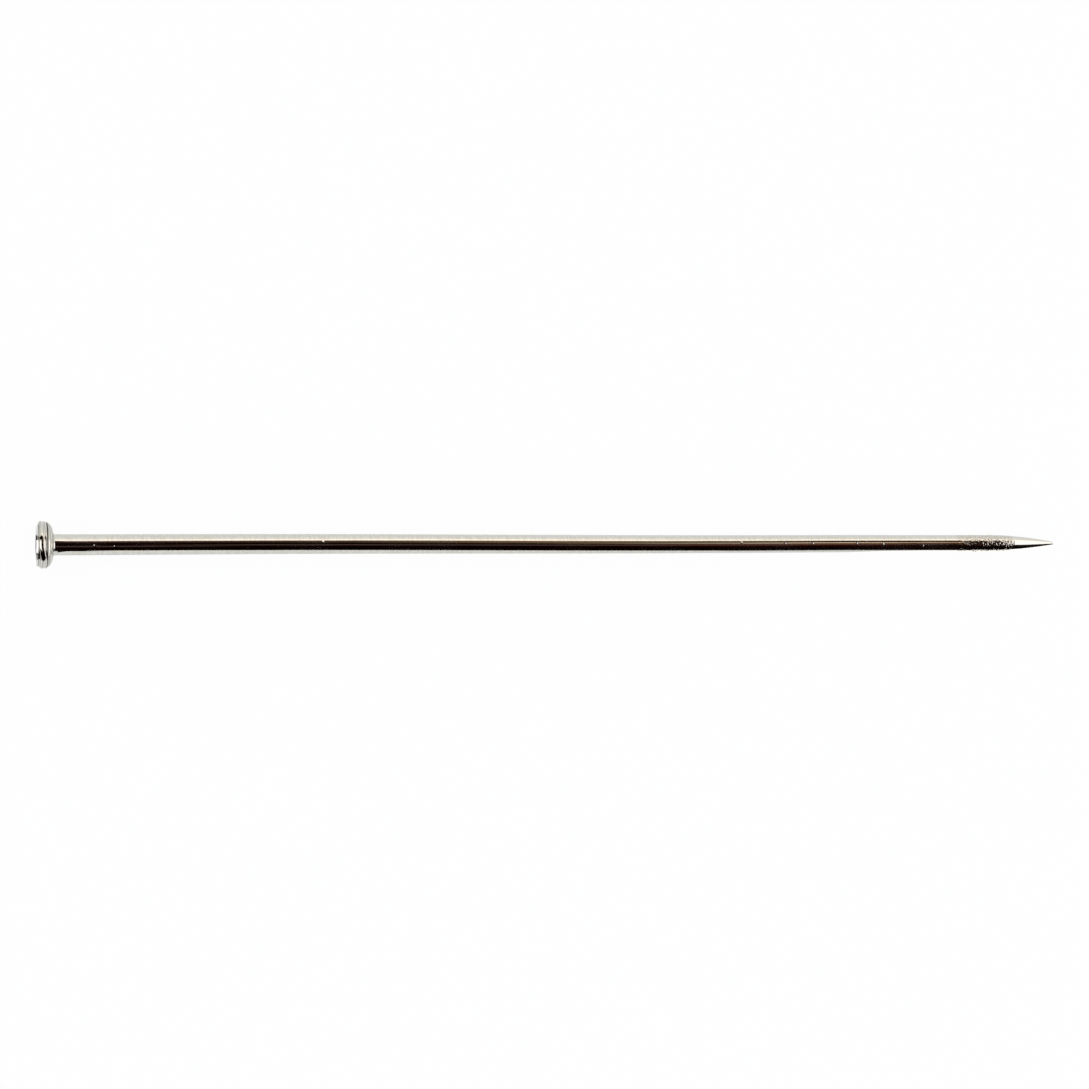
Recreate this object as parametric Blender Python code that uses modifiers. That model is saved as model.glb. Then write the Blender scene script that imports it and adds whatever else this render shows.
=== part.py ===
# A straight pin: a drawn wire shank with a ground point, riveted through a small flat round head.
# The pin lies along +X with its point at +X. The origin is the centre of the flat push face,
# the front of the riveted wire end. Lengths are in metres.

import bpy
from math import asin, atan2, cos, hypot, pi, radians, sin, sqrt, tan

# Whole pin
PIN_LENGTH = 0.0360  # push face to tip
FACETS = 32  # flats round the axis of every turned piece
ROUND_STEPS = 4  # chords in each small round
POINT_STEPS = 8  # chords along the ground point

# Wire
SHANK_DIAMETER = 0.00060
POINT_LENGTH = 0.0030  # from full wire to the tip
TIP_RADIUS = 0.000065  # round left at the very tip

# Struck-over end of the wire
RIVET_FLARE = 0.00010  # how far it spreads beyond the wire, all round
RIVET_PROUD = 0.000008  # how far it stands in front of the head's face
PUSH_FACE_DIAMETER = 0.00036  # flat left in its middle

# Head
HEAD_DIAMETER = 0.001334
FACE_STEP = 0.000017  # how far the raised middle of the face stands in front of the rim
FACE_EDGE = 0.000012  # bevel round that raised middle
FACE_LEDGE = 0.000010  # flat left between it and the rim's round
RIM_FRONT_ROUND = 0.000080  # ledge to the front bead's crest
RIM_BACK_ROUND = 0.000100  # behind that crest
GROOVE_FALL = radians(30)  # flank of the fine groove, on the side of the front bead
GROOVE_RISE = radians(32)  # its flank on the side of the rear bead
GROOVE_DEPTH = 0.000017
BEAD_SPACING = 0.000090  # crest to crest
REAR_BEAD_ROUND = 0.000040
REAR_BEAD_DROP = 0.000003  # rear crest below the front one
SEAM_WIDTH = 0.000020  # root of the seam behind the rim to the shoulder
SHOULDER_DROP = 0.000022  # shoulder's edge below the front crest
BACK_LENGTH = 0.000165  # shoulder to neck
BACK_BULGE = 0.000050  # rise of the convex back over a straight cone
NECK_FILLET = 0.00003
NECK_TURN = radians(85)  # slope of the back where it meets the neck fillet
LIP_SLOPE = radians(30)  # cone of the lip that runs out along the wire
LIP_RISE = 0.000024  # foot of the fillet above the end of the lip
LIP_WALL = 0.000008  # metal left round the wire at the end of the lip
COUNTERSINK_DEPTH = 0.00008

# Joint between wire and head
JOINT_CLEARANCE = 0.000005

# Nickel plate
HEAD_COLOUR = (0.66, 0.64, 0.59, 1.0)
HEAD_ROUGHNESS = 0.16
SHANK_COLOUR = (0.64, 0.62, 0.57, 1.0)
SHANK_ROUGHNESS = 0.20

WELD_DISTANCE = 1e-7


def round_corner(centre, radius, start, end, steps):
    """Points (radius, height) on an arc. Angles run from outwards (0) towards the point (90 degrees)."""
    points = []
    for i in range(steps + 1):
        angle = start + (end - start) * i / steps
        points.append((centre[0] + radius * cos(angle), centre[1] + radius * sin(angle)))
    return points


def bulged_line(first, last, bulge, steps):
    """Points on the shallow arc from first to last that rises by bulge, away from the axis."""
    run = hypot(last[0] - first[0], last[1] - first[1])
    arc_radius = (run * run / 4 + bulge * bulge) / (2 * bulge)
    along = ((last[0] - first[0]) / run, (last[1] - first[1]) / run)
    outward = (-along[1], along[0])
    reach = arc_radius - bulge
    centre = (
        (first[0] + last[0]) / 2 - outward[0] * reach,
        (first[1] + last[1]) / 2 - outward[1] * reach,
    )
    half_turn = asin(run / 2 / arc_radius)
    middle = atan2(outward[1], outward[0])
    return round_corner(centre, arc_radius, middle + half_turn, middle - half_turn, steps)


def shank_profile():
    """Outline of the wire, tip first, then down its outer side to the push face."""
    wire = SHANK_DIAMETER / 2
    base = PIN_LENGTH - POINT_LENGTH
    taper_length = POINT_LENGTH - TIP_RADIUS
    taper_drop = wire - TIP_RADIUS
    sweep = (taper_length * taper_length + taper_drop * taper_drop) / (2 * taper_drop)
    tip_centre = (0.0, PIN_LENGTH - TIP_RADIUS)
    points = round_corner(tip_centre, TIP_RADIUS, pi / 2, 0.0, ROUND_STEPS)
    points[0] = (0.0, PIN_LENGTH)
    for i in range(1, POINT_STEPS + 1):
        run = taper_length * (1 - i / POINT_STEPS)
        points.append((wire - sweep + sqrt(sweep * sweep - run * run), base + run))
    points.append((wire, RIVET_PROUD + COUNTERSINK_DEPTH))
    points.append((wire + RIVET_FLARE, RIVET_PROUD))
    points.append((PUSH_FACE_DIAMETER / 2, 0.0))
    points.append((0.0, 0.0))
    return points


def head_profile():
    """Closed outline of the head, from its lip down the outer side, across the face and up the bore."""
    rim = HEAD_DIAMETER / 2
    bore = SHANK_DIAMETER / 2 + JOINT_CLEARANCE
    lip = bore + LIP_WALL
    crest = FACE_STEP + RIM_FRONT_ROUND
    rear_centre = (rim - REAR_BEAD_DROP - REAR_BEAD_ROUND, crest + BEAD_SPACING)
    shoulder = (rim - SHOULDER_DROP, rear_centre[1] + REAR_BEAD_ROUND + SEAM_WIDTH)
    fillet_radius = lip + LIP_RISE + NECK_FILLET * cos(LIP_SLOPE)
    neck = (fillet_radius - NECK_FILLET * cos(NECK_TURN), shoulder[1] + BACK_LENGTH)
    fillet_centre = (fillet_radius, neck[1] + NECK_FILLET * sin(NECK_TURN))
    lip_height = fillet_centre[1] - NECK_FILLET * sin(LIP_SLOPE) + LIP_RISE / tan(LIP_SLOPE)
    points = [(bore, lip_height), (lip, lip_height)]
    points += round_corner(fillet_centre, NECK_FILLET, pi + LIP_SLOPE, pi + NECK_TURN, ROUND_STEPS)[:-1]
    points += bulged_line(neck, shoulder, BACK_BULGE, ROUND_STEPS)
    points += round_corner(rear_centre, REAR_BEAD_ROUND, pi / 2, -GROOVE_RISE, ROUND_STEPS)
    crest_end = (
        rim - RIM_BACK_ROUND * (1 - cos(GROOVE_FALL)),
        crest + RIM_BACK_ROUND * sin(GROOVE_FALL),
    )
    groove = rim - GROOVE_DEPTH
    points.append((groove, crest_end[1] + (crest_end[0] - groove) / tan(GROOVE_FALL)))
    points.append(crest_end)
    front_centre = (rim - RIM_FRONT_ROUND, crest)
    points += round_corner(front_centre, RIM_FRONT_ROUND, 0.0, -pi / 2, ROUND_STEPS)
    raised = front_centre[0] - FACE_LEDGE
    points.append((raised, FACE_STEP))
    points.append((raised - FACE_EDGE, 0.0))
    points.append((bore + RIVET_FLARE, 0.0))
    points.append((bore, COUNTERSINK_DEPTH))
    return points


def plated_metal(name, colour, roughness):
    """Nickel-plated steel."""
    material = bpy.data.materials.new(name)
    material.use_nodes = True
    surface = material.node_tree.nodes["Principled BSDF"]
    surface.inputs["Base Color"].default_value = colour
    surface.inputs["Metallic"].default_value = 1.0
    surface.inputs["Roughness"].default_value = roughness
    return material


def turned(name, profile, closed, material, parent, collection):
    """A round piece: its outline swept once round its own Z axis, a flat facing down."""
    edges = [(i, i + 1) for i in range(len(profile) - 1)]
    if closed:
        edges.append((len(profile) - 1, 0))
    mesh = bpy.data.meshes.new(name)
    mesh.from_pydata([(radius, 0.0, height) for radius, height in profile], edges, [])
    mesh.materials.append(material)
    piece = bpy.data.objects.new(name, mesh)
    sweep = piece.modifiers.new("turning", "SCREW")
    sweep.axis = "Z"
    sweep.angle = 2 * pi
    sweep.steps = FACETS
    sweep.render_steps = FACETS
    sweep.use_merge_vertices = True
    sweep.merge_threshold = WELD_DISTANCE
    sweep.use_smooth_shade = True
    piece.rotation_euler = (0.0, 0.0, pi / FACETS)
    piece.parent = parent
    collection.objects.link(piece)
    return piece


for leftover in list(bpy.data.objects):
    bpy.data.objects.remove(leftover, do_unlink=True)

pin = bpy.data.collections.new("straight_pin")
bpy.context.scene.collection.children.link(pin)

axis = bpy.data.objects.new("pin_axis", None)
axis.rotation_euler = (0.0, pi / 2, 0.0)
pin.objects.link(axis)

shank_metal = plated_metal("shank_nickel_plate", SHANK_COLOUR, SHANK_ROUGHNESS)
head_metal = plated_metal("head_nickel_plate", HEAD_COLOUR, HEAD_ROUGHNESS)
turned("shank", shank_profile(), False, shank_metal, axis, pin)
head = turned("head", head_profile(), True, head_metal, axis, pin)
head.location.z = RIVET_PROUD
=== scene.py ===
# %% [markdown]
# A straight pin, close up. The real thing is a length of drawn steel wire with a ground point,
# riveted through a small head, and plated with bright nickel. It is 36 mm long and the wire is
# 0.6 mm thick, so everything here is tiny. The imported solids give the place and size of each
# piece, and this script dresses them.

from math import atan2, ceil, cos, hypot, pi, radians, sin, sqrt, tan

import bpy
import numpy as np
from mathutils import Matrix, Vector, noise


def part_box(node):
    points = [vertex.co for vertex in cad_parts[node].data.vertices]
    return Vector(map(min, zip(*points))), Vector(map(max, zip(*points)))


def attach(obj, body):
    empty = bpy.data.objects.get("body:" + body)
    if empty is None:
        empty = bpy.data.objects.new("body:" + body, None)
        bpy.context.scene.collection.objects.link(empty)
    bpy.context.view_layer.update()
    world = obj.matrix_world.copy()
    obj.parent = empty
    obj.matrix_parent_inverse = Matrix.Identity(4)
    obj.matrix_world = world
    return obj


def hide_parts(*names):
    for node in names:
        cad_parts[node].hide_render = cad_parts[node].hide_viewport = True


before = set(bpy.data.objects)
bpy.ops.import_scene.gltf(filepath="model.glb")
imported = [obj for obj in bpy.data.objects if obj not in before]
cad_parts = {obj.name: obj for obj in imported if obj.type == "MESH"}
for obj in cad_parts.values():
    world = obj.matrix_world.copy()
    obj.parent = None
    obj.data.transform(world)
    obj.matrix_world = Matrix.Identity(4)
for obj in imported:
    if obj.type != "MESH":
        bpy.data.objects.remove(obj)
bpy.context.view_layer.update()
MM = 0.001

# %% [markdown]
# Colours are written as the sRGB hex values that a colour picker shows. Blender's sockets take
# linear light, so one function turns the first into the second.

# %% Hex colours to linear light
def linear(hex_colour):
    """An sRGB hex value as the linear colour that a socket takes."""
    shares = [int(hex_colour[i : i + 2], 16) / 255 for i in (1, 3, 5)]
    light = [s / 12.92 if s <= 0.04045 else ((s + 0.055) / 1.055) ** 2.4 for s in shares]
    return (*light, 1.0)


NICKEL_LIGHT, NICKEL_DARK = linear("#DEDBD4"), linear("#D3CFC7")
print("nickel in linear light:", [round(c, 3) for c in NICKEL_LIGHT[:3]])

# %% [markdown]
# A material is a tree of nodes. One small function adds a node, sets it and links it, so that each
# material below reads as a list of what it is made of.

# %% Add one node
def add_node(tree, kind, links=None, stops=None, **settings):
    """A node of that kind. Each input gets a socket, a node's first output or a plain value."""
    node = tree.nodes.new(kind)
    for name, value in settings.items():
        setattr(node, name, value)
    for name, value in (links or {}).items():
        if isinstance(value, bpy.types.Node):
            value = next(output for output in value.outputs if output.enabled)
        if isinstance(value, bpy.types.NodeSocket):
            tree.links.new(value, node.inputs[name])
        else:
            node.inputs[name].default_value = value
    for number, (position, colour) in enumerate(stops or ()):
        marks = node.color_ramp.elements
        mark = marks[number] if number < len(marks) else marks.new(position)
        mark.position, mark.color = position, colour
    return node


def empty_material(name):
    """A material with no nodes yet, and its tree."""
    material = bpy.data.materials.new(name)
    material.use_nodes = True
    material.node_tree.nodes.clear()
    return material, material.node_tree


# %% [markdown]
# Both pieces are round, so each is made as on a lathe: an outline is swept once round the pin's own
# axis, which is X. The outline is a list of points in millimetres, (along the axis, out from it). A
# relief, also in millimetres, then lifts or sinks each point along its own normal, so that dents,
# grit and slight out-of-roundness are real shape. Each face also gets a flat map in millimetres,
# along and around, which the materials use for patterns of a known size. A Screw modifier could
# sweep an outline too, but arrays let every point have its own relief.

# %% Turn an outline into a mesh
ON_AXIS = 1e-9  # a point closer to the axis than this, in mm, is on it


def turn(name, outline, facets, relief, slip=None, closed=False):
    """A mesh object swept round X. relief and slip take (along, out, turns) in mm and give mm."""
    path = np.array(outline, float)
    on_axis = path[:, 1] < ON_AXIS
    ahead = np.roll(path, -1, 0) - np.roll(path, 1, 0)
    if not closed:
        ahead[0] = path[1] - path[0]
        ahead[-1] = path[-1] - path[-2]
    ahead /= np.linalg.norm(ahead, axis=1, keepdims=True)
    run = np.concatenate([[0.0], np.cumsum(np.linalg.norm(np.diff(path, axis=0), axis=1))])
    angle = np.linspace(0.0, 2 * pi, facets, endpoint=False)
    along = np.repeat(path[:, :1], facets, 1)
    out = np.repeat(path[:, 1:], facets, 1)
    turns = np.repeat(angle[None, :], len(path), 0)
    lift = relief(along, out, turns)
    lift[on_axis] = 0.0
    shift = slip(along, out, turns) if slip else 0.0
    along = along - ahead[:, 1:] * lift + shift
    out = out + ahead[:, :1] * lift
    places = np.stack([along, -out * np.sin(turns), -out * np.cos(turns)], 2) * MM

    corner = np.arange(len(path) * facets).reshape(len(path), facets)
    if not closed:
        corner[on_axis] = corner[on_axis][:, :1]
    faces, maps = [], []
    for i in range(len(path) if closed else len(path) - 1):
        k = (i + 1) % len(path)
        far = run[k] if k else run[i]
        for j in range(facets):
            n = (j + 1) % facets
            ring = [(i, j, run[i], j), (k, j, far, j), (k, n, far, j + 1), (i, n, run[i], j + 1)]
            face = []
            for row, column, reach, step in ring:
                if corner[row, column] not in face:
                    face.append(corner[row, column])
                    maps += [reach, step / facets * 2 * pi * path[row, 1]]
            faces.append(face)

    used = np.unique(np.concatenate(faces))
    new_number = np.zeros(len(path) * facets, int)
    new_number[used] = np.arange(len(used))
    points = places.reshape(-1, 3)[used].tolist()
    mesh = bpy.data.meshes.new(name)
    mesh.from_pydata(points, [], [new_number[face].tolist() for face in faces])
    mesh.uv_layers.new(name="surface_mm").data.foreach_set("uv", np.array(maps, np.float32))
    mesh.shade_smooth()
    piece = bpy.data.objects.new(name, mesh)
    bpy.context.scene.collection.objects.link(piece)
    print(name, "has", len(mesh.vertices), "points and", len(mesh.polygons), "faces")
    return piece


# %% [markdown]
# Outlines are joined from straight runs and small rounds, so two helpers give points along each.
# The spacing is a length in millimetres, so that a run is as finely cut as its finish needs. A
# third helper gives the place of one point in space, for noise that has no join round the pin.

# %% Straight runs and rounds
def straight(first, last, spacing):
    """Points from first towards last, evenly spaced, without last itself."""
    steps = max(1, ceil(hypot(last[0] - first[0], last[1] - first[1]) / spacing))
    return [
        (first[0] + (last[0] - first[0]) * i / steps, first[1] + (last[1] - first[1]) * i / steps)
        for i in range(steps)
    ]


def rounding(centre, radius, start, end, spacing):
    """Points on an arc without its last. The angle is 0 straight out, and 90 towards the point."""
    steps = max(3, ceil(abs(end - start) * radius / spacing))
    angles = [start + (end - start) * i / steps for i in range(steps)]
    return [(centre[0] + radius * sin(a), centre[1] + radius * cos(a)) for a in angles]


def place_at(along, out, turned):
    """The place of one point in space, in mm."""
    return Vector((along, out * cos(turned), out * sin(turned)))


sample = rounding((0.0, 0.0), 0.1, 0.0, pi / 2, 0.01)
print("a quarter round of 0.1 mm at 0.01 mm:", len(sample), "points")

# %% [markdown]
# The wire. Drawing through a die leaves it very slightly lobed, which bends the reflections along
# it. Its point is ground in two stages: a coarse one, whose grit marks still sparkle through the
# plate, and a fine one that makes the smooth last taper. Plating follows both, and dust in the bath
# leaves a few tiny nodules. The other end is struck over in the head, and its middle stays flat.
# The outline gets closer rows round each nodule, so that the rest can stay coarse.

# %% Sizes of the wire
shank_low, shank_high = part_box("shank")
PIN_LENGTH = shank_high.x / MM
WIRE_RADIUS = 0.30
POINT_LENGTH = 3.0
TIP_RADIUS = 0.065
GRIND_START = 31.50
FINE_START = 33.95
RIVET_RADIUS = 0.40
RIVET_PROUD = 0.008
RIVET_EDGE, RIVET_TURN = 0.006, pi / 8  # its edge's round, and how far that goes past straight out
COUNTERSINK_DEPTH = 0.08
PUSH_FACE_RADIUS = 0.18
taper_length = POINT_LENGTH - TIP_RADIUS
taper_drop = WIRE_RADIUS - TIP_RADIUS
taper_sweep = (taper_length**2 + taper_drop**2) / (2 * taper_drop)


def wire_radius(along):
    """Radius of the wire at a distance from the push face, up to the round of the tip."""
    run = max(0.0, along - (PIN_LENGTH - POINT_LENGTH))
    return WIRE_RADIUS - taper_sweep + sqrt(taper_sweep**2 - run**2)


half_way = PIN_LENGTH - POINT_LENGTH / 2
print("half-way along the point the wire is", round(2 * wire_radius(half_way), 3), "mm thick")

# %% Outline of the wire
# Each nodule: how far along the pin in mm, and how far below the middle of the view in degrees.
NODULES = (
    (1.54, 3), (2.09, 8), (8.12, -12), (22.5, -10), (24.2, -4),
    (25.3, -4), (27.1, -3), (28.2, 2), (29.9, 17), (31.92, 14),
)
NODULE_SIZE, NODULE_HEIGHT = 0.022, 0.009
END_SPACING, CONE_SPACING, EDGE_SPACING, TIP_SPACING = 0.03, 0.02, 0.002, 0.006
WIRE_SPACING, GRIT_SPACING, FINE_SPACING = 0.12, 0.016, 0.03
tip_start = PIN_LENGTH - TIP_RADIUS
edge_centre = (RIVET_PROUD, RIVET_RADIUS - RIVET_EDGE)
edge_start = (RIVET_PROUD - RIVET_EDGE, edge_centre[1])
edge_end = (RIVET_PROUD + RIVET_EDGE, edge_centre[1])
foot = (RIVET_PROUD + COUNTERSINK_DEPTH, WIRE_RADIUS)
wire_outline = straight((0.0, 0.0), (0.0, PUSH_FACE_RADIUS), END_SPACING)
wire_outline += straight((0.0, PUSH_FACE_RADIUS), edge_start, CONE_SPACING)
wire_outline += rounding(edge_centre, RIVET_EDGE, -pi / 2, RIVET_TURN, EDGE_SPACING)
wire_outline += straight(edge_end, foot, END_SPACING)
wire_rows = list(np.arange(foot[0], GRIND_START, WIRE_SPACING))
wire_rows += [x + NODULE_SIZE * step / 2 for x, below in NODULES for step in range(-4, 5)]
wire_outline += [(x, WIRE_RADIUS) for x in sorted(wire_rows) if x < GRIND_START]
ground = ((GRIND_START, FINE_START, GRIT_SPACING), (FINE_START, tip_start, FINE_SPACING))
for start, end, spacing in ground:
    steps = ceil((end - start) / spacing)
    wire_outline += [(x, wire_radius(x)) for x in np.linspace(start, end, steps, endpoint=False)]
wire_outline += rounding((tip_start, 0.0), TIP_RADIUS, 0.0, pi / 2, TIP_SPACING)
wire_outline.append((PIN_LENGTH, 0.0))
print("wire outline:", len(wire_outline), "points")

# %% [markdown]
# The relief of the wire. Each grain of grit cuts its own small facet, so the coarse zone is split
# into cells as big as the grains, and each cell is tilted by its own random amount. A high odd
# power keeps most facets nearly level and lets a few lean far, and those few are the sparkles. A
# bump in the material could draw the grit too, but facets of real shape mirror the room as metal
# does.

# %% Relief of the wire
# Each lobing: how many lobes, their height in mm, their twist in radians per mm, and their start.
LOBES = ((2, 0.0022, 0.09, 0.4), (3, 0.0009, -0.17, 1.9), (5, 0.0003, 0.31, 0.7))
GRIT_SIZE = 0.065
GRIT_SLOPE, GRIT_POWER, GRIT_SHUFFLE = 0.36, 7, 31.7
GRIT_FADE_IN, GRIT_FADE_OUT = 0.10, 0.06
STEP_WIDTH, STEP_DEPTH = 0.018, 0.004


def wire_relief(along, out, turns):
    """Nodules and lobes along the wire, a fine line at each end of the grinding, and its facets."""
    lift = np.zeros_like(along)
    for place, below in NODULES:
        off_along, off_round = along - place, (turns - pi + radians(below)) * out
        lift += NODULE_HEIGHT * np.exp(-(off_along**2 + off_round**2) / NODULE_SIZE**2)
    drawn = np.clip((along - foot[0]) / COUNTERSINK_DEPTH, 0.0, 1.0)
    for lobes, height, twist, start in LOBES:
        lift += drawn * height * np.cos(lobes * turns + twist * along + start)
    for edge in (GRIND_START, FINE_START):
        lift -= STEP_DEPTH * np.exp(-(((along - edge) / STEP_WIDTH) ** 2))
    for i in np.nonzero((along[:, 0] > GRIND_START) & (along[:, 0] < FINE_START))[0]:
        past, left = along[i, 0] - GRIND_START, FINE_START - along[i, 0]
        fade = min(1.0, past / GRIT_FADE_IN, left / GRIT_FADE_OUT)
        for j in range(along.shape[1]):
            place = place_at(along[i, j], out[i, j], turns[i, j])
            middle = noise.voronoi(place / GRIT_SIZE)[1][0]
            shares = noise.cell_vector(middle * GRIT_SHUFFLE)
            tilt = [GRIT_SLOPE * (2 * share - 1) ** GRIT_POWER for share in shares]
            lift[i, j] += fade * (place - middle * GRIT_SIZE).dot(Vector(tilt))
    return lift


WIRE_FACETS = 144
wire = turn("drawn_wire_shank", wire_outline, WIRE_FACETS, wire_relief)

# %% [markdown]
# No wire is quite straight after the rollers. This one wanders sideways by about a hundredth of a
# millimetre, first one way and then the other, which is enough to move the dark band in it by part
# of a pixel. The points are read into one array, moved and written back, which is quick.

# %% Wander of the wire
WANDER = 0.013
WANDER_START, WANDER_LENGTH = 1.5, 25.0
places = np.empty(len(wire.data.vertices) * 3, np.float32)
wire.data.vertices.foreach_get("co", places)
turn_share = np.clip((places[0::3] / MM - WANDER_START) / WANDER_LENGTH, 0.0, 1.0)
places[1::3] += WANDER * MM * np.sin(2 * pi * turn_share)
wire.data.vertices.foreach_set("co", places)
print("the wire wanders by", WANDER, "mm each way")

# %% [markdown]
# The head. It was pressed on and struck, so its rim is two fat beads with a fine groove between
# them. Behind the rim runs a seam, then a domed back that drops steeply to the wire, and a thin
# lip. Its bore and countersink are there too, as in the solids. Every size is a radius, a depth or
# a slope that could be read off a drawing, and the outline below is built from them.

# %% Sizes of the head
head_low, head_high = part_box("head")
FACE = head_low.x / MM
HEAD_RADIUS = 0.667
FACE_RADIUS, FACE_ROUND = 0.604, 0.008
CREST = 0.0936  # front bead's crest behind the face
FRONT_ROUND, CREST_ROUND = 0.118, 0.118  # before and behind that crest
WALL_TURN = radians(42)
GROOVE_FALL, GROOVE_RISE = radians(28), radians(36)
GROOVE_DEPTH = 0.020
BEAD_SPACING = 0.105
REAR_ROUND, REAR_DROP = 0.045, 0.003
SEAM_WIDTH = 0.014
SHOULDER_DROP, SHOULDER_ROUND = 0.022, 0.010
SHOULDER_RISE, SHOULDER_FALL = pi / 3, pi / 6  # turn of its round before and behind straight out
BACK_LENGTH, BACK_BULGE = 0.155, 0.050
NECK_FILLET, NECK_TURN = 0.03, radians(85)
LIP_SLOPE = radians(36)
LIP_START, LIP_WALL = 0.032, 0.008  # metal round the bore where the lip starts and ends
JOINT_CLEARANCE = 0.005
bore = WIRE_RADIUS + JOINT_CLEARANCE
countersink = bore + RIVET_RADIUS - WIRE_RADIUS
crest = FACE + CREST
wall = crest - FRONT_ROUND * sin(WALL_TURN)
rear = (crest + BEAD_SPACING, HEAD_RADIUS - REAR_DROP - REAR_ROUND)
seam = rear[0] + REAR_ROUND
shoulder = (seam + SEAM_WIDTH, HEAD_RADIUS - SHOULDER_DROP)
lip_start = bore + LIP_START
neck_centre = lip_start + NECK_FILLET * cos(LIP_SLOPE)
neck = (shoulder[0] + BACK_LENGTH, neck_centre - NECK_FILLET * cos(NECK_TURN))
lip = neck[0] + NECK_FILLET * (sin(NECK_TURN) - sin(LIP_SLOPE))
lip_end = lip + (LIP_START - LIP_WALL) / tan(LIP_SLOPE)
print("behind the face are the seam at", round(seam - FACE, 3), "mm", end=" ")
print("and the end of the lip at", round(lip_end - FACE, 3), "mm")

# %% Places on the outline of the head
face_edge = (FACE + FACE_ROUND, FACE_RADIUS - FACE_ROUND)
wall_top = (wall, HEAD_RADIUS - FRONT_ROUND * (1 - cos(WALL_TURN)))
crest_end = (
    crest + CREST_ROUND * sin(GROOVE_FALL),
    HEAD_RADIUS - CREST_ROUND * (1 - cos(GROOVE_FALL)),
)
groove = HEAD_RADIUS - GROOVE_DEPTH
groove = (crest_end[0] + (crest_end[1] - groove) / tan(GROOVE_FALL), groove)
rear_start = (rear[0] - REAR_ROUND * sin(GROOVE_RISE), rear[1] + REAR_ROUND * cos(GROOVE_RISE))
shoulder_centre = (shoulder[0], shoulder[1] - SHOULDER_ROUND)
seam_end = (shoulder[0] - SHOULDER_ROUND, shoulder_centre[1])
neck_place = (neck[0] + NECK_FILLET * sin(NECK_TURN), neck_centre)
lip_edge = (lip_end, bore + LIP_WALL)
countersink_foot = (FACE + COUNTERSINK_DEPTH, bore)
print("the groove's root is at", round(groove[0] - FACE, 3), "mm behind the face")

# %% Outline of the head
FINE, FINER, FINEST = 0.006, 0.003, 0.002
FACE_SPACING, NECK_SPACING, LIP_SPACING, BORE_SPACING = 0.02, 0.004, 0.01, 0.08


def bulged(first, last, bulge, spacing):
    """Points along the arc from first to last that rises by bulge, without last itself."""
    chord = hypot(last[0] - first[0], last[1] - first[1])
    radius = (chord**2 / 4 + bulge**2) / (2 * bulge)
    outward = atan2(first[1] - last[1], last[0] - first[0])
    reach = radius - bulge
    centre = (
        (first[0] + last[0]) / 2 - reach * sin(outward),
        (first[1] + last[1]) / 2 - reach * cos(outward),
    )
    half = atan2(chord / 2, reach)
    return rounding(centre, radius, outward - half, outward + half, spacing)


front_centre, crest_centre = HEAD_RADIUS - FRONT_ROUND, HEAD_RADIUS - CREST_ROUND
head_outline = straight((FACE, countersink), (FACE, face_edge[1]), FACE_SPACING)
head_outline += rounding(face_edge, FACE_ROUND, -pi / 2, 0.0, FINEST)
head_outline += straight((face_edge[0], FACE_RADIUS), (wall, FACE_RADIUS), FINEST)
head_outline += straight((wall, FACE_RADIUS), wall_top, FINE)
head_outline += rounding((crest, front_centre), FRONT_ROUND, -WALL_TURN, 0.0, FINE)
head_outline += rounding((crest, crest_centre), CREST_ROUND, 0.0, GROOVE_FALL, FINE)
head_outline += straight(crest_end, groove, FINE)
head_outline += straight(groove, rear_start, FINE)
head_outline += rounding(rear, REAR_ROUND, -GROOVE_RISE, pi / 2, FINE)
head_outline += straight((seam, rear[1]), seam_end, FINE)
head_outline += rounding(shoulder_centre, SHOULDER_ROUND, -SHOULDER_RISE, SHOULDER_FALL, FINER)
head_outline += bulged(shoulder, neck, BACK_BULGE, FINE)[1:]
head_outline += rounding(neck_place, NECK_FILLET, pi + NECK_TURN, pi + LIP_SLOPE, NECK_SPACING)
head_outline += straight((lip, lip_start), lip_edge, FINE)
head_outline += straight(lip_edge, (lip_end, bore), LIP_SPACING)
head_outline += straight((lip_end, bore), countersink_foot, BORE_SPACING)
head_outline += straight(countersink_foot, (FACE, countersink), END_SPACING)
print("head outline:", len(head_outline), "points")

# %% [markdown]
# The blows that set the head leave their marks. Shallow dents break up what the beads mirror, while
# the face met a flat punch and has hardly any. The die also sat a little askew, so low in the view
# the beads lean back along the axis, and at the top the face is bent back.

# %% Relief of the head
DENT_SIZE = 0.24
DENT_HEIGHT, FACE_DENT_HEIGHT = 0.0026, 0.0004
DENTS_OFF_LIP = 0.03  # how far outside the start of the lip they begin


def head_relief(along, out, turns):
    """Shallow dents on the outside of the head."""
    lift = np.zeros_like(along)
    for i in np.nonzero(out[:, 0] > lip_start + DENTS_OFF_LIP)[0]:
        height = DENT_HEIGHT if along[i, 0] > face_edge[0] else FACE_DENT_HEIGHT
        for j in range(along.shape[1]):
            place = place_at(along[i, j], out[i, j], turns[i, j])
            lift[i, j] = height * noise.fractal(place / DENT_SIZE, 1.0, 2.0, 2)
    return lift


# %% Lean of the head
LEAN_DOWN, LEAN_UP = 0.050, 0.006
LEAN_REACH = 0.38  # how far from the middle of the view the lean is full
WALL_LEAN = 0.95  # the front wall's share of it
SEAM_FADE = 0.04  # it fades out this far in front of the seam
BENT, BENT_FROM, BENT_TO = 0.030, 0.40, 0.60


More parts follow.
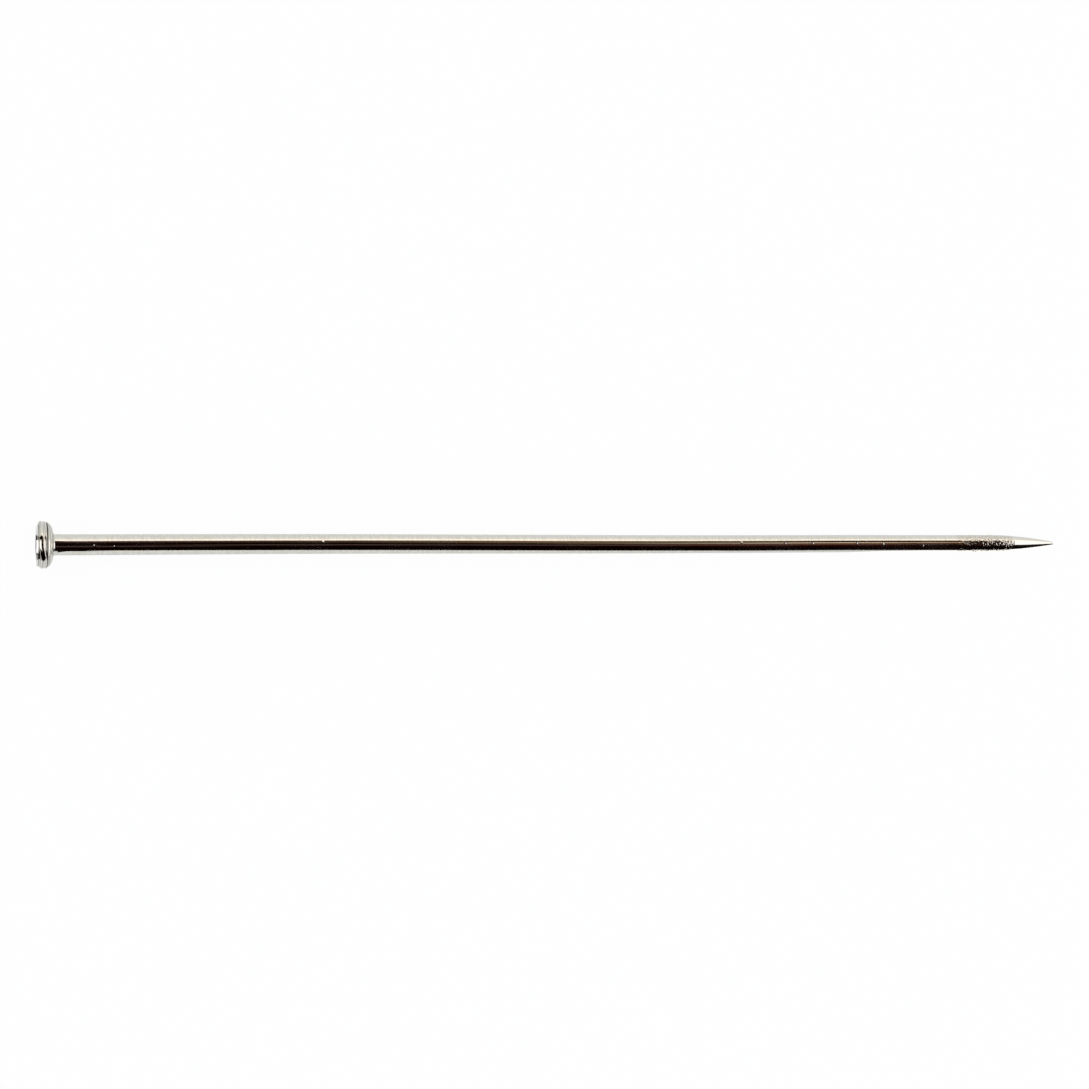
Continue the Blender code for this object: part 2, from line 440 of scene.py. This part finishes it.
def head_slip(along, out, turns):
    """How far the askew die pushed each point along the axis."""
    below = out * np.sin(turns)
    share = np.clip(below / LEAN_REACH, -1.0, 1.0)
    lean = np.where(share > 0, LEAN_DOWN, LEAN_UP)
    lean = lean * share * np.abs(share) * (3 - 2 * np.abs(share))
    ledge = np.clip((along - face_edge[0]) / (wall - face_edge[0]), 0.0, 1.0)
    flank = WALL_LEAN + (1 - WALL_LEAN) * np.clip((along - wall) / (crest - wall), 0.0, 1.0)
    lean = lean * ledge * flank * np.clip((seam - along) / SEAM_FADE, 0.0, 1.0)
    bent = BENT * np.clip((-below - BENT_FROM) / (BENT_TO - BENT_FROM), 0.0, 1.0) ** 2
    return bent * np.clip((crest - along) / CREST, 0.0, 1.0) + lean * (out > face_edge[1])


HEAD_FACETS = 160
head = turn("riveted_head", head_outline, HEAD_FACETS, head_relief, head_slip, closed=True)

# %% [markdown]
# Both pieces stand for their solids and ride on the one body that the pin has. Nothing on a pin
# moves, so that one body is enough.

# %% Join the pieces to the frame
for piece, node in ((wire, "shank"), (head, "head")):
    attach(piece, "root")
    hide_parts(node)
    print(piece.name, "stands for", node)

# %% [markdown]
# Bright nickel plate over drawn wire. Nickel is a slightly warm grey metal, and the brightener in
# the bath makes it mirror-like. What is left of the drawing is a faint lengthwise grain, and the
# straightening rollers leave fine rings. On a real wire the grain is a few thousandths of a
# millimetre wide and the rings a few hundredths, so both are drawn coarser here to show at all.
# Every plate ends alike, in a metal whose roughness and bump follow a pattern, so one function
# makes that end.

# %% Patterns and the end of every plate
def streaks(tree, length, width):
    """Noise whose marks have that length along the outline and that width round it, in mm."""
    flat = add_node(tree, "ShaderNodeUVMap", uv_map="surface_mm")
    scale = (1 / length, 1 / width, 1.0)
    scaled = add_node(tree, "ShaderNodeMapping", {"Vector": flat, "Scale": scale})
    settings = {"Vector": scaled, "Scale": 1.0, "Detail": 2.0}
    return add_node(tree, "ShaderNodeTexNoise", settings, noise_dimensions="2D")


def nickel(tree, tint, worn, wear, marked, strength, height):
    """Ends a plate. wear: two levels of the pattern worn and the roughness at each. height: mm."""
    spans = dict(zip(("From Min", "From Max", "To Min", "To Max"), wear))
    rough = add_node(tree, "ShaderNodeMapRange", {"Value": worn, **spans})
    relief = {"Height": marked, "Strength": strength, "Distance": height * MM}
    bump = add_node(tree, "ShaderNodeBump", relief)
    surface = {"Base Color": tint, "Metallic": 1.0, "Roughness": rough, "Normal": bump}
    plate = add_node(tree, "ShaderNodeBsdfPrincipled", surface)
    add_node(tree, "ShaderNodeOutputMaterial", {"Surface": plate})


# %% Nickel plate on the drawn wire
GRAIN_WIDTH, GRAIN_LENGTH, GRAIN_HEIGHT = 0.035, 4.0, 0.0012
RING_SPACING, RING_LENGTH = 0.07, 0.25
CLOUD_SIZE = 1.6
wire_plate, tree = empty_material("bright_nickel_plate_on_drawn_wire")
grain = streaks(tree, GRAIN_LENGTH, GRAIN_WIDTH)
rings = streaks(tree, RING_SPACING, RING_LENGTH)
clouds = streaks(tree, CLOUD_SIZE, CLOUD_SIZE)
marks = {"Value": rings, "From Min": 0.35, "From Max": 0.65}
ring_mark = add_node(tree, "ShaderNodeMapRange", marks)
shades = {"Factor": ring_mark, "A": NICKEL_LIGHT, "B": NICKEL_DARK}
tint = add_node(tree, "ShaderNodeMix", shades, data_type="RGBA")
nickel(tree, tint, clouds, (0.3, 0.7, 0.07, 0.14), grain, 0.3, GRAIN_HEIGHT)
print("grain:", GRAIN_WIDTH, "mm wide; rings every", RING_SPACING, "mm")

# %% [markdown]
# Two more plates, over the ground steel of the point. The coarse zone is full of grit marks, so the
# plate there is a little browner in its pits and duller, and its facets sparkle. The last taper was
# polished, and is the brightest part. Both come from the same noise at other sizes.

# %% Nickel plate on the coarse ground zone
PIT_SIZE, PIT_DEPTH = 0.05, 0.003
grit_plate, tree = empty_material("nickel_plate_on_coarse_ground_steel")
pits = streaks(tree, PIT_SIZE, PIT_SIZE)
pit_mark = add_node(tree, "ShaderNodeMapRange", {"Value": pits, "From Min": 0.4, "From Max": 0.6})
shades = {"Factor": pit_mark, "A": linear("#BDB4A6"), "B": NICKEL_LIGHT}
tint = add_node(tree, "ShaderNodeMix", shades, data_type="RGBA")
nickel(tree, tint, pits, (0.35, 0.65, 0.13, 0.05), pits, 0.5, PIT_DEPTH)
print("pits:", PIT_SIZE, "mm across")

# %% Nickel plate on the polished point
POLISH_WIDTH, POLISH_LENGTH, POLISH_HEIGHT = 0.02, 0.8, 0.0008
point_plate, tree = empty_material("nickel_plate_on_polished_point")
polish = streaks(tree, POLISH_LENGTH, POLISH_WIDTH)
shades = {"Factor": polish, "A": NICKEL_LIGHT, "B": NICKEL_DARK}
tint = add_node(tree, "ShaderNodeMix", shades, data_type="RGBA")
nickel(tree, tint, polish, (0.3, 0.7, 0.06, 0.12), polish, 0.3, POLISH_HEIGHT)
print("polishing marks:", POLISH_WIDTH, "mm wide")

# %% Give each stretch of the wire its plate
for material in (wire_plate, grit_plate, point_plate):
    wire.data.materials.append(material)
middles = np.array([face.center.x for face in wire.data.polygons]) / MM
stretch = (middles > GRIND_START).astype(np.int32) + (middles > FINE_START)
wire.data.polygons.foreach_set("material_index", stretch)
print("faces of drawn, coarse and polished plate:", np.bincount(stretch).tolist())

# %% [markdown]
# The head was turned and struck before plating. Fine rings are left on it, and shade is painted
# as dark lines into the seam and into the step round the face. It could be painted on by hand, but
# both lines run right round the head, so how far along the axis a spot lies is enough.

# %% Nickel plate on the struck head
TURNED_RING, RING_SPREAD, RING_HEIGHT = 0.03, 1.2, 0.0008
BLOTCH_SIZE = 0.18
# Each painted crease shade: its place along the axis and its reach, both in mm, and its strength.
CREASE_SHADE_LINES = ((seam + 0.010, 0.024, 0.9), (wall + 0.005, 0.017, 0.6))
FULL_SHARE = 0.3  # share of the reach where the painted shade is at full strength
head_plate, tree = empty_material("bright_nickel_plate_on_struck_head")
turned_rings = streaks(tree, TURNED_RING, RING_SPREAD)
blotches = streaks(tree, BLOTCH_SIZE, BLOTCH_SIZE)
marks = {"Value": turned_rings, "From Min": 0.38, "From Max": 0.62}
ring_mark = add_node(tree, "ShaderNodeMapRange", marks)
shades = {"Factor": ring_mark, "A": NICKEL_LIGHT, "B": linear("#B3AFA7")}
tint = add_node(tree, "ShaderNodeMix", shades, data_type="RGBA")
own_place = add_node(tree, "ShaderNodeTexCoord").outputs["Object"]
axis_place = add_node(tree, "ShaderNodeSeparateXYZ", {"Vector": own_place}).outputs["X"]
# Each pass darkens the plate towards #4E483F there: painted shade in the crease.
for place, reach, amount in CREASE_SHADE_LINES:
    past = add_node(tree, "ShaderNodeMath", {0: axis_place, 1: place * MM}, operation="SUBTRACT")
    away = add_node(tree, "ShaderNodeMath", {0: past}, operation="ABSOLUTE")
    fade = {"Value": away, "From Min": FULL_SHARE * reach * MM, "From Max": reach * MM}
    fade.update({"To Min": amount, "To Max": 0.0})
    crease_shade = add_node(tree, "ShaderNodeMapRange", fade, interpolation_type="SMOOTHSTEP")
    shades = {"Factor": crease_shade, "A": tint, "B": linear("#4E483F")}
    tint = add_node(tree, "ShaderNodeMix", shades, data_type="RGBA")
nickel(tree, tint, blotches, (0.3, 0.7, 0.06, 0.12), turned_rings, 0.3, RING_HEIGHT)
head.data.materials.append(head_plate)
print("tarnish lies at", [round(place, 3) for place, reach, amount in CREASE_SHADE_LINES], "mm")

# %% [markdown]
# The floor is a sheet of matt white paper, which is very slightly cool from the brightener in it.
# The pin lies on it by its rim and by the shoulder of its point, so the sheet leans a little to
# meet both. It shows white to the camera and in the metal through Light Path, and keeps a share of
# its own shading in each, so that the pin's shadow stays on it.

# %% White sheet
SHEET_HALF = 900.0
REST_GAP = 0.004
rise = (HEAD_RADIUS - WIRE_RADIUS) / (PIN_LENGTH - POINT_LENGTH - crest)


def sheet_height(along):
    """Height of the sheet below a place on the pin's axis, in mm."""
    return rise * (along - crest) - HEAD_RADIUS - REST_GAP


square = np.array([(-1, -1), (1, -1), (1, 1), (-1, 1)]) * SHEET_HALF
corners = np.array([(x, y, sheet_height(x)) for x, y in square]) * MM
sheet_mesh = bpy.data.meshes.new("white_sheet")
sheet_mesh.from_pydata(corners.tolist(), [], [(0, 1, 2, 3)])
white_sheet = bpy.data.objects.new("white_sheet", sheet_mesh)
bpy.context.scene.collection.objects.link(white_sheet)
print("the sheet leans by", round(rise * 180 / pi, 2), "degrees")

# %% Matt white paper
SHADE_SEEN, SHADE_MIRRORED = 0.05, 0.6  # share of its own shading, seen and mirrored
sheet_paper, tree = empty_material("matt_white_paper")
ray = add_node(tree, "ShaderNodeLightPath").outputs
either = {0: ray["Is Glossy Ray"], 1: ray["Is Transmission Ray"]}
mirrored = add_node(tree, "ShaderNodeMath", either, operation="MAXIMUM")
mirrored = {0: mirrored, 1: 1 - SHADE_MIRRORED}
mirrored = add_node(tree, "ShaderNodeMath", mirrored, operation="MULTIPLY")
seen = {0: ray["Is Camera Ray"], 1: 1 - SHADE_SEEN, 2: mirrored}
share = add_node(tree, "ShaderNodeMath", seen, operation="MULTIPLY_ADD")
paper = add_node(tree, "ShaderNodeBsdfDiffuse", {"Color": linear("#EBF0F6")})
glow = add_node(tree, "ShaderNodeEmission", {"Color": linear("#FFFFFF"), "Strength": 1.0})
both = add_node(tree, "ShaderNodeMixShader", {0: share, 1: paper, 2: glow})
add_node(tree, "ShaderNodeOutputMaterial", {"Surface": both})
sheet_mesh.materials.append(sheet_paper)
print("the sheet keeps", SHADE_SEEN, "of its shading seen and", SHADE_MIRRORED, "mirrored")

# %% [markdown]
# Polished metal has almost no look of its own: it shows the room. So the room is set out as in a
# product studio, with cards round a white table. Each card is a patch of a large dome, named by two
# angles seen from the pin. One is how far it lies across the pin from overhead (up in the picture
# is plus), and the other is how far it lies along it (right is plus). Cards show only in
# reflections, so they don't darken the table.

# %% Cards round the table
DOME = 600.0


def hang(name, points, faces, card_material):
    """A card that only reflections see. Points are in mm."""
    mesh = bpy.data.meshes.new(name)
    mesh.from_pydata((np.array(points) * MM).tolist(), [], faces)
    mesh.materials.append(card_material)
    hung = bpy.data.objects.new(name, mesh)
    bpy.context.scene.collection.objects.link(hung)
    hung.visible_camera = False
    hung.visible_diffuse = False
    hung.visible_shadow = False
    hung.visible_transmission = False
    return mesh


def card(name, low, high, along, distance, card_material):
    """A patch of the dome. low and high: its edges across at both ends along, in degrees."""
    rows, columns = 24, 32
    points, maps = [], []
    for i in range(rows + 1):
        for j in range(columns + 1):
            t = j / columns
            bottom, top = low[0] + (low[1] - low[0]) * t, high[0] + (high[1] - high[0]) * t
            a = radians(bottom + (top - bottom) * i / rows)
            b = radians(along[0] + (along[1] - along[0]) * t)
            points.append([distance * c for c in (sin(b), cos(b) * sin(a), cos(b) * cos(a))])
            maps.append((b / pi + 0.5, a / pi + 0.5))
    first = [i * (columns + 1) + j for i in range(rows) for j in range(columns)]
    faces = [(f, f + 1, f + columns + 2, f + columns + 1) for f in first]
    mesh = hang(name, points, faces, card_material)
    layer = mesh.uv_layers.new(name="angles")
    for loop in mesh.loops:
        layer.data[loop.index].uv = maps[loop.vertex_index]
    print(name, "runs from", along[0], "to", along[1], "degrees along")


# %% [markdown]
# The largest cards are brown-black cloth over the pin. They glow and only reflections see them,
# so they paint the dark band along the wire as a painted reflection. At the left the cloth is
# nearly black with one paler painted streak. Towards the right the colour holds painted room light,
# so the band turns brown there, with a painted golden highlight at its edge. Each colour ramp runs
# across the pin, and the ramps are mixed one into the next along it. A picture of a room could
# stand here instead, but with ramps each streak in the metal can be set by itself.

# %% Dark cloth
PAINTED_STREAK = ((-29, "#0D0302"), (-25, "#4F3C3A"), (-18, "#4F3C3A"), (-14, "#0D0301"))
HIGH_PAINTED_STREAK = ((-16, "#0D0302"), (-12, "#523F3D"), (-5, "#523F3D"), (-1, "#0D0301"))
LEFT = ((-80, "#0A0201"), (-50, "#0A0100"), *PAINTED_STREAK)
LEFT += ((14, "#0D0301"), (25, "#3A2622"), (34, "#5A4640"))
INNER = ((-80, "#0A0201"), (-50, "#0A0100"), *HIGH_PAINTED_STREAK)
INNER += ((14, "#0D0301"), (24, "#3E2C26"), (34, "#503C34"))
MIDDLE = ((-80, "#0A0201"), (-45, "#0C0100"), *HIGH_PAINTED_STREAK)
MIDDLE += ((11, "#0D0301"), (18, "#6B5642"), (34, "#80694F"))
# RIGHT and FAR hold the painted room light, and their pale stops the painted golden highlight.
RIGHT = ((-80, "#0A0202"), (-33, "#120000"), (-20, "#2E0E06"), (-8, "#6A4030"), (8, "#74482F"))
RIGHT += ((10, "#FFEBD0"), (17, "#FFEBD0"), (20, "#060100"), (35, "#060100"))
FAR = ((-80, "#0A0202"), (-20, "#1E0A04"), (8, "#4A2C1C"))
FAR += ((11, "#C8A684"), (18, "#C8A684"), (22, "#0A0200"))
MIXED_FROM, MIXED_TO = (7, 15, 25, 38.0), (12, 24, 37, 38.6)  # degrees along, ramp into ramp

dark_cloth, tree = empty_material("dark_brown_cloth")
angles = add_node(tree, "ShaderNodeUVMap", uv_map="angles")
angles = add_node(tree, "ShaderNodeSeparateXYZ", {"Vector": angles}).outputs
cloths = []
for ramp in (LEFT, INNER, MIDDLE, RIGHT, FAR):
    stops = [(angle / 180 + 0.5, linear(colour)) for angle, colour in ramp]
    cloths.append(add_node(tree, "ShaderNodeValToRGB", {"Fac": angles["Y"]}, stops=stops))
cloth = cloths[0]
for further, start, end in zip(cloths[1:], MIXED_FROM, MIXED_TO):
    reach = {"Value": angles["X"], "From Min": start / 180 + 0.5, "From Max": end / 180 + 0.5}
    mixed = add_node(tree, "ShaderNodeMapRange", reach)
    pair = {"Factor": mixed, "A": cloth, "B": further}
    cloth = add_node(tree, "ShaderNodeMix", pair, data_type="RGBA")
# The cloth's colour is a glow: a painted reflection, with painted light towards the right.
cloth_glow = add_node(tree, "ShaderNodeEmission", {"Color": cloth, "Strength": 1.0})
add_node(tree, "ShaderNodeOutputMaterial", {"Surface": cloth_glow})
print("the cloth is mixed from", len(cloths), "ramps")

# %% Dark cards over the pin
card("dark_card_left", (-73.0, -77.0), (37.0, 40.0), (-14.0, 6.0), DOME, dark_cloth)
card("dark_card", (-67.5, -107.0), (42.5, 43.0), (6.0, 50.0), DOME, dark_cloth)
card("dark_card_side", (-89.0, -73.0), (-34.0, -36.0), (-52.0, -14.0), DOME, dark_cloth)

# %% [markdown]
# White cards stand at the ends of the pin, just inside the dome. They glow brighter than white and
# paint the bright sides of the head and the point as painted highlights. All the plain cards from
# here on glow in one even colour, so one function makes their material.

# %% White cards at the ends of the pin
def plain_card(name, colour, strength):
    """The material of a card that glows evenly, as a painted reflection."""
    material, tree = empty_material(name)
    even = add_node(tree, "ShaderNodeEmission", {"Color": linear(colour), "Strength": strength})
    add_node(tree, "ShaderNodeOutputMaterial", {"Surface": even})
    return material


INSIDE = DOME * 0.95
# white_card glows at 1.55, brighter than white: painted highlights in the metal.
white_card = plain_card("white_card", "#FFFFFF", 1.55)
card("left_white_card", (-38.0, -28.0), (24.0, 20.0), (-80.0, -12.0), INSIDE, white_card)
card("right_white_card", (-25.0, -25.0), (45.0, 45.0), (44.5, 84.0), INSIDE, white_card)
card("far_white_card", (-89.0, -89.0), (-25.0, -25.0), (50.0, 84.0), INSIDE, white_card)

# %% [markdown]
# A few ribbons lie on the sheet close to the pin, where the low sides of the metal look. They glow
# and only reflections see them: the dark ones are painted shadow and shade of the pin on the sheet,
# and the white ones painted highlights. Two dark ones run out from the front of the head with a
# white one between them, and give its face a white middle with dark spots above and below. A short
# one right in front of the face is its painted contact shadow and draws the face's dark edge. The
# last two do the same work for the point. Each is one flat face, because only its outline shows in
# the metal.

# %% Ribbons on the sheet
RIBBON_RISE = 0.004


def ribbon(name, corners, ribbon_material):
    """A flat shape laid on the sheet. Corners are (along, across) in mm."""
    points = [(x, y, sheet_height(x) + RIBBON_RISE) for x, y in corners]
    hang(name, points, [tuple(range(len(points)))], ribbon_material)
    print(name, "has", len(points), "corners")


# A flat dark glow seen only in reflections: painted shadow on the sheet, painted dark reflections.
painted_dark_reflection = plain_card("painted_dark_reflection", "#0A0201", 1.0)
LOW_INNER = [(-0.034, -0.23), (-0.5, -0.27), (-1.0, -0.4), (-2.9, -1.1), (-4.0, -1.55)]
LOW_OUTER = [(-4.0, -4.7), (-2.9, -3.6), (-1.25, -1.12), (-0.66, -0.62), (-0.038, -0.42)]
HIGH_INNER = [(-0.05, 0.13), (-0.5, 0.2), (-1.1, 0.29), (-3.6, 0.92), (-9.0, 2.5)]
HIGH_OUTER = [(-9.0, 3.9), (-2.9, 1.1), (-1.0, 0.4), (-0.05, 0.25)]
FACE_SHADE = [(-0.03, -0.23), (0.004, -0.23), (0.004, 0.28), (-0.045, 0.28)]
FRONT_SHADE = [(25, -6), (29.5, -3), (33, -1.6), (80, -1.6), (80, -400), (37, -400), (33, -20)]
POINT_LIGHT = [(27, -0.3), (31, -1.6), (48, -1.6), (48, 0.0), (36, 0.0)]
# Dark ribbons: painted shadow of the pin on the sheet. White ones: painted highlights.
ribbon("low_painted_shadow_ribbon", LOW_INNER + LOW_OUTER, painted_dark_reflection)
ribbon("high_painted_shadow_ribbon", HIGH_INNER + HIGH_OUTER, painted_dark_reflection)
ribbon("head_painted_highlight_ribbon", LOW_INNER + HIGH_INNER[::-1], white_card)
ribbon("face_painted_shadow_ribbon", FACE_SHADE, painted_dark_reflection)
ribbon("front_painted_shade_ribbon", FRONT_SHADE, painted_dark_reflection)
ribbon("point_painted_highlight_ribbon", POINT_LIGHT, white_card)

# %% [markdown]
# Small dark cards stand so close that only one part of the pin sees each: the head, its neck or the
# point. They glow and only reflections see them, so each is a painted dark reflection there. The
# last one is held level over the coarse ground zone, so that its facets mirror a painted brown
# reflection unless they lean out from under it.

# %% Small cards near the metal
# Each card: its name, how far across it stands, and its corners (along, up), all in mm.
SMALL_CARDS = (
    ("head_low_card", -1.6, ((-1.2, 0.58), (1.5, 0.58), (1.5, 1.2), (-1.2, 1.2))),
    ("head_high_card", 1.6, ((-2.9, 1.95), (0.9, 1.95), (0.9, 3.4), (-2.9, 3.4))),
    ("neck_card", -0.32, ((0.55, 0.2), (0.95, 0.31), (0.95, 0.48), (0.55, 0.36))),
    ("point_card", -0.8, ((32.0, 0.0), (40.0, 0.0), (40.0, 1.75), (32.0, 1.75))),
)
# Each card is a painted dark reflection, seen only in the metal.
for name, across, corners in SMALL_CARDS:
    hang(name, [(x, across, z) for x, z in corners], [(0, 1, 2, 3)], painted_dark_reflection)
    print(name, "stands", abs(across), "mm from the axis")

# %% Card over the coarse ground zone
OVER = 3.0
NEAR_EDGE = [(34.26, 2.15), (33.67, 0.0), (34.7, -3.0), (38.2, -8.0)]
FAR_EDGE = [(41.8, -8.0), (37.55, -3.0), (36.26, 0.0), (36.98, 2.15)]
# brown_card's glow is a painted brown reflection in the coarse facets.
brown_card = plain_card("brown_card", "#2E1A10", 1.0)
over_grit = [(x, y, OVER) for x, y in NEAR_EDGE + FAR_EDGE]
hang("grit_card", over_grit, [tuple(range(len(over_grit)))], brown_card)
print("grit_card is held", OVER, "mm over the axis")

# %% [markdown]
# The light. A long soft lamp lies just above the edge of the dark cards, and makes the bright line
# along the wire. The rest comes from a pale room of strength 1, so that what is white in it stays
# white in the metal.

# %% Soft lamp and pale room
LAMP_ACROSS = radians(52)
LAMP_HEIGHT, LAMP_LENGTH, LAMP_DISTANCE, LAMP_OVERHANG = 180.0, 1000.0, 520.0, 40.0
LAMP_RADIANCE = 0.55
lamp = bpy.data.lights.new("long_soft_lamp", "AREA")
lamp.shape = "RECTANGLE"
lamp.size, lamp.size_y = LAMP_LENGTH * MM, LAMP_HEIGHT * MM
lamp.energy = LAMP_RADIANCE * pi * lamp.size * lamp.size_y
lamp.color = linear("#FFDCBE")[:3]
lamp_stand = bpy.data.objects.new("long_soft_lamp", lamp)
lamp_stand.location = (
    (LAMP_LENGTH / 2 - LAMP_OVERHANG) * MM,
    LAMP_DISTANCE * sin(LAMP_ACROSS) * MM,
    LAMP_DISTANCE * cos(LAMP_ACROSS) * MM,
)
lamp_stand.rotation_euler = (-LAMP_ACROSS, 0.0, 0.0)
bpy.context.scene.collection.objects.link(lamp_stand)

room = bpy.data.worlds.new("pale_room")
room.use_nodes = True
room_light = room.node_tree.nodes["Background"].inputs
room_light["Color"].default_value = linear("#FDFEFA")
room_light["Strength"].default_value = 1.0
bpy.context.scene.world = room
bpy.context.scene.view_settings.view_transform = "Standard"
print("lamp gives", round(lamp.energy, 3), "W")

# %% [markdown]
# The camera looks down on the pin. The wire gets thinner in the picture from head to point although
# it is the same thickness all along, so the lens stands over the head and is tilted towards the
# point. The tilt and distance below follow from that thinning, from the pin's length, and from how
# much of the head's face shows.

# %% Camera
IMAGE_SIZE = 1089
SENSOR = 36.0
TILT = radians(22.6)
ROLL = radians(-0.092)
PIXELS_PER_MM = 35.67
HEAD_PIXEL = (36.9, 543.98)
FAR_THINNING = 0.3334
depth = PIN_LENGTH * sin(TILT) / FAR_THINNING
right = Vector((cos(TILT), 0.0, sin(TILT)))
forward = Vector((sin(TILT), 0.0, -cos(TILT)))
up = right.cross(forward)
off_x, off_y = [(pixel - IMAGE_SIZE / 2) / PIXELS_PER_MM for pixel in HEAD_PIXEL]
lens = bpy.data.cameras.new("camera")
lens.sensor_width = SENSOR
lens.lens = PIXELS_PER_MM * depth / IMAGE_SIZE * SENSOR
lens.clip_start, lens.clip_end = MM, 10.0
camera = bpy.data.objects.new("camera", lens)
camera_place = Vector((FACE, 0.0, 0.0)) - right * off_x + up * off_y - forward * depth
aim = Matrix((right, up, -forward)).transposed().to_4x4() @ Matrix.Rotation(ROLL, 4, "Z")
camera.matrix_world = Matrix.Translation(camera_place * MM) @ aim
bpy.context.scene.collection.objects.link(camera)
bpy.context.scene.camera = camera
print("camera at", [round(c, 2) for c in camera_place], "mm, lens of", round(lens.lens, 1), "mm")
